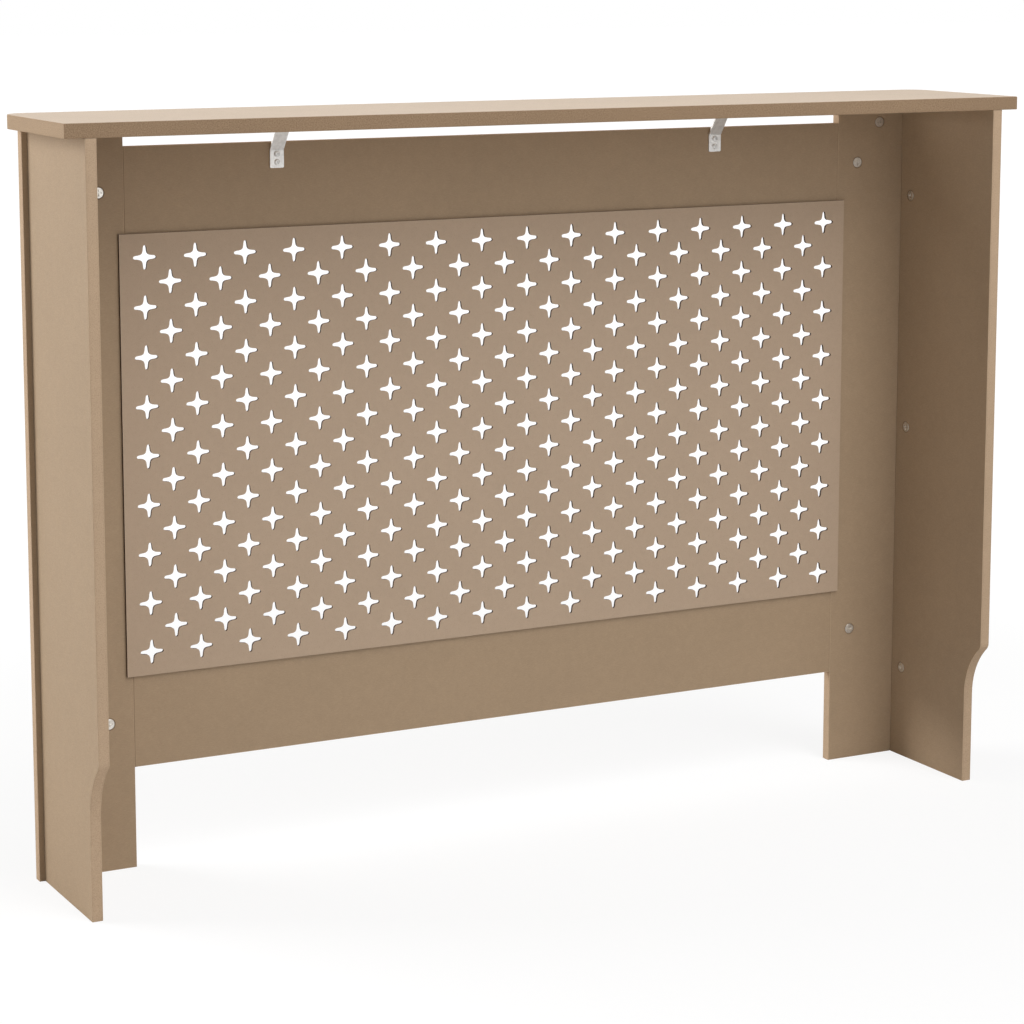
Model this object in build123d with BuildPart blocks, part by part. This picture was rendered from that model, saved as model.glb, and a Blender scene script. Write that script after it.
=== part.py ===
from build123d import *
import math
import os

os.makedirs("parts", exist_ok=True)

# Radiator cover cabinet in bare board, millimetres.
# X runs along the wall, -Y faces the room, +Y faces the wall and Z is up.
# The origin is on the floor, under the middle of the top board.

# ---------------------------------------------------------------- overall
cabinet_length = 1150.0
cabinet_depth = 200.0
cabinet_height = 820.0

# ---------------------------------------------------------------- boards
top_thickness = 15.0
frame_thickness = 12.0
side_thickness = 12.0
top_front_overhang = 8.0
top_end_overhang = 15.0
top_corner_radius = 25.0
top_arris = 1.0
board_arris = 0.4
stile_width = 110.0
stile_proud = 6.0
top_rail_height = 100.0
bottom_rail_height = 109.0
vent_gap = 22.0
floor_gap = 112.0

# ---------------------------------------------------------------- skirting cut-out
skirting_depth = 30.0
skirting_height = 170.0
skirting_arc_radius = 80.0
skirting_corner_radius = 10.0

# ---------------------------------------------------------------- grille
grille_thickness = 3.0
grille_side_lap = 7.5
grille_end_lap = 8.0
star_points = 4
star_reach = 13.3
star_tip_pull = 4.5
star_flank_pull = 1.6
star_waist_pull = 0.1
star_pitch_x = 57.2
star_pitch_z = 53.4

# ---------------------------------------------------------------- cam locks and bolts
cam_bore_radius = 6.0
cam_bore_depth = 10.0
cam_running_clearance = 0.05
cam_plate = 2.2
cam_cavity_radius = 4.0
cam_eccentricity = 0.45
cam_part_clearance = 0.3
cam_rim_ease = 0.4
recess_width = 1.5
recess_length = 7.0
recess_depth = 1.4
recess_taper = 10.0
arrow_gap = 0.5
arrow_length = 1.3
arrow_half_width = 0.8
arrow_depth = 0.4
bolt_head_radius = 3.0
bolt_head_length = 3.0
bolt_neck_radius = 1.75
bolt_shaft_radius = 3.0
bolt_passage_clearance = 0.1
bolt_ease = 0.4
thread_radius = 2.5
thread_pitch = 1.6
thread_height = 0.5
hole_clearance = 0.05
hole_spare_depth = 0.5
rail_bolt_thread = 11.0
side_bolt_thread = 8.0
top_bolt_thread = 10.0

rail_cam_setback = 28.0
side_cam_setback = 20.0
top_cam_setback = 22.0
top_cam_inset = 51.0
upper_rail_cam_drop = 47.5
lower_rail_cam_rise = 51.0
side_cam_low = 111.0
side_cam_middle = 412.0
side_cam_high_drop = 110.5

# ---------------------------------------------------------------- dowels
dowel_radius = 3.0
dowel_ease = 0.6
dowel_flutes = 8
dowel_flute_radius = 0.4
rail_dowel_length = 30.0
side_dowel_length = 20.0
side_dowel_in_stile = 8.0
top_dowel_length = 24.0
top_dowel_in_top = 10.0
rail_dowel_offset = 32.0
top_dowel_front = 60.0
top_dowel_spacing = 75.0

# ---------------------------------------------------------------- brackets and their screws
bracket_offset = 276.0
bracket_width = 16.0
bracket_strip = 2.0
bracket_leg = 20.0
bracket_rise = 30.0
bracket_lean = 22.0
bracket_bend_radius = 3.5
bracket_corner_radius = 1.5
screw_first = 6.0
screw_spacing = 9.0
screw_head_radius = 3.2
screw_head_height = 1.9
screw_head_ease = 1.0
screw_radius = 1.5
screw_thread_height = 0.35
screw_thread_pitch = 1.2
screw_reach = 10.0
screw_tip = 2.0
screw_recess_width = 0.8
screw_recess_length = 3.6
screw_recess_depth = 1.0

# ---------------------------------------------------------------- worked out
wall_y = cabinet_depth / 2
frame_front_y = -cabinet_depth / 2 + top_front_overhang
frame_rear_y = frame_front_y + frame_thickness
frame_middle_y = frame_rear_y - frame_thickness / 2
underside_z = cabinet_height - top_thickness
stile_outer_x = cabinet_length / 2 - top_end_overhang
stile_inner_x = stile_outer_x - stile_width
side_outer_x = stile_outer_x - stile_proud
side_inner_x = side_outer_x - side_thickness
side_middle_x = side_outer_x - side_thickness / 2
top_rail_z = underside_z - vent_gap
window_top_z = top_rail_z - top_rail_height
window_bottom_z = floor_gap + bottom_rail_height
window_middle_z = (window_top_z + window_bottom_z) / 2
grille_length = 2 * (stile_inner_x + grille_side_lap)
grille_height = window_top_z - window_bottom_z + 2 * grille_end_lap
bolt_axis_depth = frame_thickness / 2
upper_rail_cam_z = top_rail_z - upper_rail_cam_drop
lower_rail_cam_z = floor_gap + lower_rail_cam_rise
side_cam_high = underside_z - side_cam_high_drop
side_cam_heights = (side_cam_low, side_cam_middle, side_cam_high)
side_dowel_heights = ((side_cam_low + side_cam_middle) / 2, (side_cam_middle + side_cam_high) / 2)
rail_cam_x = stile_inner_x + rail_cam_setback
top_cam_x = stile_outer_x - top_cam_inset
top_dowel_ys = (frame_rear_y + top_dowel_front, frame_rear_y + top_dowel_front + top_dowel_spacing)
hands = ((-1, "left"), (1, "right"))


def facing_y(y):
    """A plane across Y at y, drawn as X and Z, with its normal towards the room."""
    return Plane.XZ.offset(-y)


def rear_seat(x, z, towards):
    """A fastener seat on the frame's rear face, its local X towards the joint."""
    return Plane(origin=(x, frame_rear_y, z), x_dir=towards, z_dir=(0, 1, 0))


def side_seat(hand, z):
    """A cam seat on a side panel's inner face, its local X towards the stile."""
    origin = (hand * side_inner_x, frame_rear_y + side_cam_setback, z)
    return Plane(origin=origin, x_dir=(0, -1, 0), z_dir=(-hand, 0, 0))


def toothed_edge(crest, tooth, pitch, start, end):
    """Points of a thread's outline from start down to end, as radius and height."""
    teeth = max(1, int((start - end) / pitch))
    step = (start - end) / teeth
    points = []
    for number in range(teeth):
        crest_z = start - (number + 0.5) * step
        points.append((crest, crest_z))
        points.append((crest - tooth, crest_z - step / 2))
    return points


def cam_bolt(reach, thread_length):
    """A cam bolt along Z: the joint at 0, the head's middle at reach, the thread below 0."""
    cam_wall_z = reach - cam_bore_radius - cam_part_clearance
    head_start = reach - bolt_head_length / 2
    head_end = reach + bolt_head_length / 2
    outline = [
        (0, head_end),
        (bolt_head_radius - bolt_ease, head_end),
        (bolt_head_radius, head_end - bolt_ease),
        (bolt_head_radius, head_start),
        (bolt_neck_radius, head_start),
        (bolt_neck_radius, cam_wall_z),
        (bolt_shaft_radius - bolt_ease, cam_wall_z),
        (bolt_shaft_radius, cam_wall_z - bolt_ease),
        (bolt_shaft_radius, 0),
        (thread_radius - thread_height, 0),
        *toothed_edge(thread_radius, thread_height, thread_pitch, 0, -thread_length),
        (0, -thread_length),
    ]
    with BuildPart() as bolt:
        with BuildSketch(Plane.XZ):
            with BuildLine():
                Polyline(*outline, close=True)
            make_face()
        revolve(axis=Axis.Z)
    return bolt.part


def dowel(length):
    """A fluted dowel along Z, centred on the origin."""
    with BuildPart() as pin:
        Cylinder(dowel_radius, length)
        chamfer(pin.edges().filter_by(GeomType.CIRCLE), dowel_ease)
        with PolarLocations(dowel_radius, dowel_flutes):
            Cylinder(dowel_flute_radius, length, mode=Mode.SUBTRACT)
    return pin.part


def cross_recess(plane, width, length, depth):
    """Cuts a screwdriver's cross into the face on the plane."""
    with Locations(plane):
        for sizes in ((length, width), (width, length)):
            Box(*sizes, depth, align=(Align.CENTER, Align.CENTER, Align.MAX), mode=Mode.SUBTRACT)


def bored(planes, radius, depth):
    """Bores a round hole of this depth into the face at each plane's origin."""
    with Locations(*planes):
        Hole(radius, depth)


def cam_bored(planes, setback):
    """Bores each cam's round pocket and the passage that its bolt comes through."""
    bored(planes, cam_bore_radius, cam_bore_depth)
    passages = []
    for plane in planes:
        mouth = plane.origin + plane.x_dir * setback - plane.z_dir * bolt_axis_depth
        passages.append(Plane(origin=mouth, z_dir=plane.x_dir))
    bored(passages, bolt_shaft_radius + bolt_passage_clearance, setback)


def bolt_plane(seat, setback):
    """Where a cam's bolt crosses the joint: Z runs from the joint to the cam."""
    joint = seat.origin + seat.x_dir * setback - seat.z_dir * bolt_axis_depth
    return Plane(origin=joint, x_dir=seat.z_dir, z_dir=-seat.x_dir)


def rail_seats(hand):
    """The two cam seats that hold the rails to one stile."""
    towards = (-hand, 0, 0)
    return [rear_seat(hand * rail_cam_x, z, towards) for z in (upper_rail_cam_z, lower_rail_cam_z)]


def top_seat(hand):
    """The cam seat that holds the top board to one stile."""
    return rear_seat(hand * top_cam_x, underside_z - top_cam_setback, (0, 0, 1))


def top_bolt_mouths(hand):
    """Where a top bolt goes up into the top board."""
    return [Plane(origin=(hand * top_cam_x, frame_middle_y, underside_z), z_dir=(0, 0, -1))]


def side_seats(hand):
    """The three cam seats that hold one side panel to its stile."""
    return [side_seat(hand, z) for z in side_cam_heights]


def rail_dowel_planes(hand, cam_heights):
    """The dowels beside each rail cam, where they cross the joint."""
    planes = []
    for z in cam_heights:
        for shift in (-rail_dowel_offset, rail_dowel_offset):
            joint = (hand * stile_inner_x, frame_middle_y, z + shift)
            planes.append(Plane(origin=joint, z_dir=(-hand, 0, 0)))
    return planes


def side_dowel_planes(hand):
    """The dowels from one side panel into its stile, with Z towards the wall."""
    return [
        Plane(origin=(hand * side_middle_x, frame_rear_y, z), z_dir=(0, 1, 0))
        for z in side_dowel_heights
    ]


def top_dowel_planes(hand):
    """The dowels from one side panel up into the top board, with Z upwards."""
    return [Plane(origin=(hand * side_middle_x, y, underside_z)) for y in top_dowel_ys]


def bracket_rail_seats(hand):
    """The two screw seats on a bracket's upright leg."""
    leg_bottom_z = underside_z - bracket_rise - bracket_leg
    heights = (leg_bottom_z + screw_first, leg_bottom_z + screw_first + screw_spacing)
    y = frame_rear_y + bracket_strip
    x = hand * bracket_offset
    return [Plane(origin=(x, y, z), x_dir=(1, 0, 0), z_dir=(0, 1, 0)) for z in heights]


def bracket_top_seats(hand):
    """The two screw seats on a bracket's level leg, under the top board."""
    leg_end_y = frame_rear_y + bracket_lean + bracket_leg
    places = (leg_end_y - screw_first, leg_end_y - screw_first - screw_spacing)
    z = underside_z - bracket_strip
    x = hand * bracket_offset
    return [Plane(origin=(x, y, z), x_dir=(1, 0, 0), z_dir=(0, 0, -1)) for y in places]


def flipped(planes):
    """The same places, looking the other way."""
    return [Plane(origin=plane.origin, x_dir=plane.x_dir, z_dir=-plane.z_dir) for plane in planes]


def both(places):
    """The places on the left hand and then on the right hand."""
    return [plane for hand, side in hands for plane in places(hand)]


pilot_radius = thread_radius + hole_clearance
dowel_hole_radius = dowel_radius + hole_clearance
rail_dowel_hole_depth = rail_dowel_length / 2 + hole_spare_depth
side_dowel_in_side = side_dowel_length - side_dowel_in_stile
top_dowel_in_side = top_dowel_length - top_dowel_in_top
screw_hole_radius = screw_radius + hole_clearance
screw_hole_depth = screw_reach + bracket_strip + hole_spare_depth

# ---------------------------------------------------------------- top board
with BuildPart() as top_board:
    with BuildSketch(Plane.XY.offset(underside_z)) as top_outline:
        Rectangle(cabinet_length, cabinet_depth)
        fillet(top_outline.vertices().group_by(Axis.Y)[0], top_corner_radius)
    extrude(amount=top_thickness)
    fillet(top_board.edges().group_by(Axis.Z)[-1], top_arris)
    chamfer(top_board.edges().group_by(Axis.Z)[0], board_arris)
    bored(both(top_bolt_mouths), pilot_radius, top_bolt_thread + hole_spare_depth)
    bored(flipped(both(top_dowel_planes)), dowel_hole_radius, top_dowel_in_top + hole_spare_depth)
    bored(both(bracket_top_seats), screw_hole_radius, screw_hole_depth)
top_board.part.label = "top_board"
export_step(top_board.part, "parts/top_board.step")

# ---------------------------------------------------------------- side panels
skirting_turn = math.degrees(math.acos(1 - skirting_depth / skirting_arc_radius))
skirting_arc_z = skirting_height - skirting_arc_radius * math.sin(math.radians(skirting_turn))

for hand, side in hands:
    with BuildPart() as side_panel:
        with BuildSketch(Plane.YZ.offset(hand * side_middle_x)) as side_outline:
            with BuildLine():
                cut_start = (wall_y - skirting_depth, skirting_arc_z)
                cut_arc = JernArc(cut_start, (0, 1), skirting_arc_radius, -skirting_turn)
                Polyline(
                    cut_arc @ 1,
                    (wall_y, underside_z),
                    (frame_rear_y, underside_z),
                    (frame_rear_y, 0),
                    (wall_y - skirting_depth, 0),
                    cut_start,
                )
            make_face()
            cut_corner = side_outline.vertices().sort_by_distance((wall_y, skirting_height))[0]
            fillet(cut_corner, skirting_corner_radius)
        extrude(amount=side_thickness / 2, both=True)
        chamfer(side_panel.faces().filter_by(Axis.X).edges(), board_arris)
        cam_bored(side_seats(hand), side_cam_setback)
        bored(
            flipped(side_dowel_planes(hand)),
            dowel_hole_radius,
            side_dowel_in_side + hole_spare_depth,
        )
        bored(top_dowel_planes(hand), dowel_hole_radius, top_dowel_in_side + hole_spare_depth)
    side_panel.part.label = f"side_panel_{side}"
    export_step(side_panel.part, f"parts/side_panel_{side}.step")

# ---------------------------------------------------------------- stiles
for hand, side in hands:
    with BuildPart() as stile:
        with BuildSketch(facing_y(frame_rear_y)):
            with Locations((hand * (stile_inner_x + stile_width / 2), underside_z / 2)):
                Rectangle(stile_width, underside_z)
        extrude(amount=frame_thickness)
        chamfer(stile.faces().filter_by(Axis.Y).edges(), board_arris)
        cam_bored(rail_seats(hand), rail_cam_setback)
        cam_bored([top_seat(hand)], top_cam_setback)
        bored(
            rail_dowel_planes(hand, (upper_rail_cam_z, lower_rail_cam_z)),
            dowel_hole_radius,
            rail_dowel_hole_depth,
        )
        bored(side_dowel_planes(hand), dowel_hole_radius, side_dowel_in_stile + hole_spare_depth)
        bored(
            flipped([bolt_plane(seat, side_cam_setback) for seat in side_seats(hand)]),
            pilot_radius,
            side_bolt_thread + hole_spare_depth,
        )
    stile.part.label = f"stile_{side}"
    export_step(stile.part, f"parts/stile_{side}.step")

# ---------------------------------------------------------------- rails
rails = (
    ("top_rail", window_top_z, top_rail_height, upper_rail_cam_z),
    ("bottom_rail", floor_gap, bottom_rail_height, lower_rail_cam_z),
)
for rail_name, rail_bottom_z, rail_height, rail_cam_z in rails:
    with BuildPart() as rail:
        with BuildSketch(facing_y(frame_rear_y)):
            with Locations((0, rail_bottom_z + rail_height / 2)):
                Rectangle(2 * stile_inner_x, rail_height)
        extrude(amount=frame_thickness)
        chamfer(rail.faces().filter_by(Axis.Y).edges(), board_arris)
        for hand, side in hands:
            end = Plane(origin=(hand * stile_inner_x, frame_middle_y, rail_cam_z), z_dir=(hand, 0, 0))
            bored([end], pilot_radius, rail_bolt_thread + hole_spare_depth)
            bored(
                flipped(rail_dowel_planes(hand, (rail_cam_z,))),
                dowel_hole_radius,
                rail_dowel_hole_depth,
            )
        if rail_name == "top_rail":
            bored(both(bracket_rail_seats), screw_hole_radius, screw_hole_depth)
    rail.part.label = rail_name
    export_step(rail.part, f"parts/{rail_name}.step")

# ---------------------------------------------------------------- grille panel
star_columns = 1 + int((grille_length - 2 * star_reach) / star_pitch_x)
star_rows = 1 + int((grille_height - 2 * star_reach) / star_pitch_z)

with BuildSketch() as star:
    with BuildLine():
        side_curve = Bezier(
            (star_reach, 0),
            (star_reach, star_tip_pull),
            (star_flank_pull, star_waist_pull),
            (star_waist_pull, star_flank_pull),
            (star_tip_pull, star_reach),
            (0, star_reach),
            mode=Mode.PRIVATE,
        )
        with PolarLocations(0, star_points):
            add(side_curve)
    make_face()

with BuildPart() as grille_panel:
    with BuildSketch(facing_y(frame_rear_y)):
        with Locations((0, window_middle_z)):
            Rectangle(grille_length, grille_height)
            with GridLocations(star_pitch_x, star_pitch_z, star_columns, star_rows):
                add(star.sketch, mode=Mode.SUBTRACT)
            with GridLocations(star_pitch_x, star_pitch_z, star_columns - 1, star_rows - 1):
                add(star.sketch, mode=Mode.SUBTRACT)
    extrude(amount=-grille_thickness)
grille_panel.part.label = "grille_panel"
export_step(grille_panel.part, "parts/grille_panel.step")

# ---------------------------------------------------------------- cam locks
cam_radius = cam_bore_radius - cam_running_clearance
neck_room = bolt_neck_radius + cam_part_clearance
head_room = bolt_head_radius + cam_part_clearance
arrow_base = recess_length / 2 + arrow_gap


def write_cam_lock(seat, cam_name):
    """Makes one cam lock in its seat, turned to hold its bolt, and writes it."""
    axis_plane = seat.offset(-bolt_axis_depth)
    with BuildPart() as cam_lock:
        with BuildSketch(seat):
            Circle(cam_radius)
        extrude(amount=-cam_bore_depth)
        with BuildSketch(seat.offset(-cam_plate)):
            with Locations((-cam_eccentricity, 0)):
                Circle(cam_cavity_radius)
        extrude(amount=cam_plate - cam_bore_depth, mode=Mode.SUBTRACT)
        with BuildSketch(axis_plane):
            with Locations((0, neck_room)):
                Rectangle(2 * cam_bore_radius, 2 * cam_bore_radius, align=(Align.CENTER, Align.MAX))
        extrude(amount=neck_room, both=True, mode=Mode.SUBTRACT)
        with BuildSketch(axis_plane.offset(head_room)):
            Rectangle(cam_bore_radius, 2 * head_room, align=(Align.MAX, Align.CENTER))
        extrude(amount=-cam_bore_depth, mode=Mode.SUBTRACT)
        outer_face = cam_lock.faces().sort_by(Axis(seat.origin, seat.z_dir))[-1]
        chamfer(outer_face.edges(), cam_rim_ease)
        with BuildSketch(seat):
            Rectangle(recess_length, recess_width)
            Rectangle(recess_width, recess_length)
        extrude(amount=-recess_depth, taper=recess_taper, mode=Mode.SUBTRACT)
        with BuildSketch(seat):
            with BuildLine():
                Polyline(
                    (arrow_base, arrow_half_width),
                    (arrow_base, -arrow_half_width),
                    (arrow_base + arrow_length, 0),
                    close=True,
                )
            make_face()
        extrude(amount=-arrow_depth, mode=Mode.SUBTRACT)
    cam_lock.part.label = cam_name
    export_step(cam_lock.part, f"parts/{cam_name}.step")


for hand, side in hands:
    upper_rail_seat, lower_rail_seat = rail_seats(hand)
    low_side_seat, middle_side_seat, high_side_seat = side_seats(hand)
    write_cam_lock(upper_rail_seat, f"cam_lock_top_rail_{side}")
    write_cam_lock(lower_rail_seat, f"cam_lock_bottom_rail_{side}")
    write_cam_lock(top_seat(hand), f"cam_lock_top_board_{side}")
    write_cam_lock(low_side_seat, f"cam_lock_side_low_{side}")
    write_cam_lock(middle_side_seat, f"cam_lock_side_middle_{side}")
    write_cam_lock(high_side_seat, f"cam_lock_side_high_{side}")

# ---------------------------------------------------------------- cam bolts
with BuildPart() as rail_cam_bolts:
    with Locations(*[bolt_plane(seat, rail_cam_setback) for seat in both(rail_seats)]):
        add(cam_bolt(rail_cam_setback, rail_bolt_thread))
rail_cam_bolts.part.label = "rail_cam_bolts"
export_step(rail_cam_bolts.part, "parts/rail_cam_bolts.step")

with BuildPart() as top_cam_bolts:
    with Locations(*[bolt_plane(top_seat(hand), top_cam_setback) for hand, side in hands]):
        add(cam_bolt(top_cam_setback, top_bolt_thread))
top_cam_bolts.part.label = "top_cam_bolts"
export_step(top_cam_bolts.part, "parts/top_cam_bolts.step")

with BuildPart() as side_cam_bolts:
    with Locations(*[bolt_plane(seat, side_cam_setback) for seat in both(side_seats)]):
        add(cam_bolt(side_cam_setback, side_bolt_thread))
side_cam_bolts.part.label = "side_cam_bolts"
export_step(side_cam_bolts.part, "parts/side_cam_bolts.step")

# ---------------------------------------------------------------- dowels
with BuildPart() as rail_dowels:
    for hand, side in hands:
        with Locations(*rail_dowel_planes(hand, (upper_rail_cam_z, lower_rail_cam_z))):
            add(dowel(rail_dowel_length))
rail_dowels.part.label = "rail_dowels"
export_step(rail_dowels.part, "parts/rail_dowels.step")

with BuildPart() as side_dowels:
    shift = side_dowel_length / 2 - side_dowel_in_stile
    with Locations(*[plane.offset(shift) for plane in both(side_dowel_planes)]):
        add(dowel(side_dowel_length))
side_dowels.part.label = "side_dowels"
export_step(side_dowels.part, "parts/side_dowels.step")

with BuildPart() as top_dowels:
    shift = top_dowel_in_top - top_dowel_length / 2
    with Locations(*[plane.offset(shift) for plane in both(top_dowel_planes)]):
        add(dowel(top_dowel_length))
top_dowels.part.label = "top_dowels"
export_step(top_dowels.part, "parts/top_dowels.step")

# ---------------------------------------------------------------- brackets
for hand, side in hands:
    with BuildPart() as bracket:
        with BuildSketch(Plane.YZ.offset(hand * bracket_offset)):
            with BuildLine():
                FilletPolyline(
                    (frame_rear_y, underside_z - bracket_rise - bracket_leg),
                    (frame_rear_y, underside_z - bracket_rise),
                    (frame_rear_y + bracket_lean, underside_z),
                    (frame_rear_y + bracket_lean + bracket_leg, underside_z),
                    radius=bracket_bend_radius,
                )
                offset(amount=bracket_strip, side=Side.RIGHT)
            make_face()
        extrude(amount=bracket_width / 2, both=True)
        leg_end = bracket.faces().sort_by(Axis.Z)[0]
        foot_end = bracket.faces().sort_by(Axis.Y)[-1]
        fillet(leg_end.edges().filter_by(Axis.Y), bracket_corner_radius)
        fillet(foot_end.edges().filter_by(Axis.Z), bracket_corner_radius)
        bored(bracket_rail_seats(hand), screw_hole_radius, screw_hole_depth)
        bored(bracket_top_seats(hand), screw_hole_radius, screw_hole_depth)
    bracket.part.label = f"bracket_{side}"
    export_step(bracket.part, f"parts/bracket_{side}.step")

# ---------------------------------------------------------------- bracket screws
screw_length = screw_reach + bracket_strip
with BuildPart() as screw:
    with BuildSketch(Plane.XZ):
        with BuildLine():
            Polyline(
                (0, screw_head_height),
                (screw_head_radius - screw_head_ease, screw_head_height),
                (screw_head_radius, screw_head_height - screw_head_ease),
                (screw_head_radius, 0),
                (screw_radius - screw_thread_height, 0),
                *toothed_edge(
                    screw_radius, screw_thread_height, screw_thread_pitch, 0, screw_tip - screw_length
                ),
                (0, -screw_length),
                close=True,
            )
        make_face()
    revolve(axis=Axis.Z)
    cross_recess(
        Plane.XY.offset(screw_head_height), screw_recess_width, screw_recess_length, screw_recess_depth
    )

with BuildPart() as bracket_rail_screws:
    with Locations(*both(bracket_rail_seats)):
        add(screw.part)
bracket_rail_screws.part.label = "bracket_rail_screws"
export_step(bracket_rail_screws.part, "parts/bracket_rail_screws.step")

with BuildPart() as bracket_top_screws:
    with Locations(*both(bracket_top_seats)):
        add(screw.part)
bracket_top_screws.part.label = "bracket_top_screws"
export_step(bracket_top_screws.part, "parts/bracket_top_screws.step")
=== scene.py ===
"""A radiator cover cabinet in bare fibreboard, seen from the wall's side.

The boards, brackets, cam locks and joinery keep their CAD shapes and get their finishes here.
The star-pierced grille and the bracket screws are made here, in the places that the CAD gives.
"""

import logging
import math
from dataclasses import dataclass, field
from enum import Enum
from typing import Any, Dict, List, Optional, Sequence, Tuple, Union

import bmesh
import bpy
from mathutils import Matrix, Vector


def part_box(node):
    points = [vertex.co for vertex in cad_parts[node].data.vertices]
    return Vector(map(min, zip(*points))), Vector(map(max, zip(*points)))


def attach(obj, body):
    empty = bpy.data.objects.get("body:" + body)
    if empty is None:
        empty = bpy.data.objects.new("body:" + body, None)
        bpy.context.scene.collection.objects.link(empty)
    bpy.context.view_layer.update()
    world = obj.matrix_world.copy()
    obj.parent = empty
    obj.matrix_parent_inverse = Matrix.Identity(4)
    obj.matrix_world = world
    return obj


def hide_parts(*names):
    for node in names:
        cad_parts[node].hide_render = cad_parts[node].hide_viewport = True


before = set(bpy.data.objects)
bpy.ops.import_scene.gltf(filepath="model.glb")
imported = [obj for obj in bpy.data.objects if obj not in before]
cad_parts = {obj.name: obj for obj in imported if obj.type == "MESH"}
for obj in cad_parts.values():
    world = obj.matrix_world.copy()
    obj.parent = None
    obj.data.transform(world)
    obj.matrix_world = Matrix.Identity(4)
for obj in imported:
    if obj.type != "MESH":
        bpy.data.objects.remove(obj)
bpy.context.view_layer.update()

log = logging.getLogger("radiator_cover")

Colour = Tuple[float, float, float]
Triple = Tuple[float, float, float]
Span = Tuple[float, float]
Point = Tuple[float, float]
Loop = List[bmesh.types.BMVert]

CARCASS = "carcass"
MILLIMETRE = 0.001
WELD = 0.0001 * MILLIMETRE
NOISE_MIDDLE = 0.5


def paint(red: float, green: float, blue: float) -> Colour:
    """A colour as a screen shows it, from 0 to 255, as linear light from 0 to 1."""
    return tuple(((part / 255 + 0.055) / 1.055) ** 2.4 for part in (red, green, blue))


def in_radians(degrees: Triple) -> Triple:
    """Turns about the three axes, from degrees to radians."""
    return tuple(math.radians(angle) for angle in degrees)


class Axis(Enum):
    """A direction of the row frame, by its place in a coordinate."""

    X = 0
    Y = 1
    Z = 2


class Ray(Enum):
    """A kind of ray, by its output on the Light Path node."""

    CAMERA = "Is Camera Ray"
    GLOSSY = "Is Glossy Ray"
    TRANSMISSION = "Is Transmission Ray"


@dataclass(frozen=True)
class Pattern:
    """A noise pattern: how fine it is, how many finer layers lie on it and how strong they are."""

    per_metre: float
    detail: float = 2.0
    harshness: float = 0.5


# ---- node trees as expressions


class Sock:
    """One value of a node tree, on which arithmetic adds its Math nodes."""

    def __init__(self, graph: "Graph", socket: bpy.types.NodeSocket) -> None:
        """Wraps a socket of the graph."""
        self.graph = graph
        self.socket = socket

    def __add__(self, other: "Value") -> "Sock":
        """This value plus another."""
        return self.graph.math("ADD", self, other)

    def __sub__(self, other: "Value") -> "Sock":
        """This value less another."""
        return self.graph.math("SUBTRACT", self, other)

    def __rsub__(self, other: "Value") -> "Sock":
        """Another value less this one."""
        return self.graph.math("SUBTRACT", other, self)

    def __mul__(self, other: "Value") -> "Sock":
        """This value times another."""
        return self.graph.math("MULTIPLY", self, other)

    def __truediv__(self, other: "Value") -> "Sock":
        """This value over another."""
        return self.graph.math("DIVIDE", self, other)

    def __abs__(self) -> "Sock":
        """This value without its sign."""
        return self.graph.math("ABSOLUTE", self)

    __radd__ = __add__
    __rmul__ = __mul__

    def rise(self, span: Span) -> "Sock":
        """A smooth step that is 0 up to the span's start and 1 from its end on.

        Args:
            span: Where the step starts and ends. If the start is the larger, the step falls.

        Returns:
            The step, from 0 to 1.
        """
        low, high = span
        if low > high:
            return 1 - self.rise((high, low))
        return self.graph.out(
            "ShaderNodeMapRange",
            {"interpolation_type": "SMOOTHSTEP"},
            {"Value": self, "From Min": low, "From Max": high},
        )

    def larger(self, other: "Value") -> "Sock":
        """The larger of this value and another."""
        return self.graph.math("MAXIMUM", self, other)

    def swing(self, width: float) -> "Sock":
        """This noise as a change about 0, which is this wide in all."""
        return (self - NOISE_MIDDLE) * width


Value = Union[float, int, bool, Sequence[float], Sock, bpy.types.NodeSocket, bpy.types.Material]
Inputs = Dict[Union[str, int], Value]


class Graph:
    """A node tree that is written as expressions."""

    def __init__(self, tree: bpy.types.NodeTree) -> None:
        """Starts on a tree, which may be empty."""
        self.tree = tree

    def node(
        self,
        kind: str,
        settings: Optional[Dict[str, Any]] = None,
        inputs: Optional[Inputs] = None,
    ) -> bpy.types.Node:
        """Adds one node.

        Args:
            kind: The node's type.
            settings: Its own settings, which are set first.
            inputs: Values or links for its sockets, by name or number.

        Returns:
            The node.
        """
        made = self.tree.nodes.new(kind)
        for name, setting in (settings or {}).items():
            setattr(made, name, setting)
        for key, value in (inputs or {}).items():
            self.feed(made.inputs[key], value)
        return made

    def out(
        self,
        kind: str,
        settings: Optional[Dict[str, Any]] = None,
        inputs: Optional[Inputs] = None,
        output: Union[str, int] = 0,
    ) -> Sock:
        """Adds one node, as node does, and returns its output of this name or number."""
        return Sock(self, self.node(kind, settings, inputs).outputs[output])

    def math(self, operation: str, *values: Value) -> Sock:
        """A Math node of this operation on the values."""
        return self.out("ShaderNodeMath", {"operation": operation}, dict(enumerate(values)))

    def feed(self, socket: bpy.types.NodeSocket, value: Value) -> None:
        """Links a value into a socket, or sets the socket to it.

        Args:
            socket: The input to fill.
            value: What fills it.
        """
        if isinstance(value, Sock):
            value = value.socket
        if isinstance(value, bpy.types.NodeSocket):
            self.tree.links.new(value, socket)
        else:
            socket.default_value = value


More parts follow.
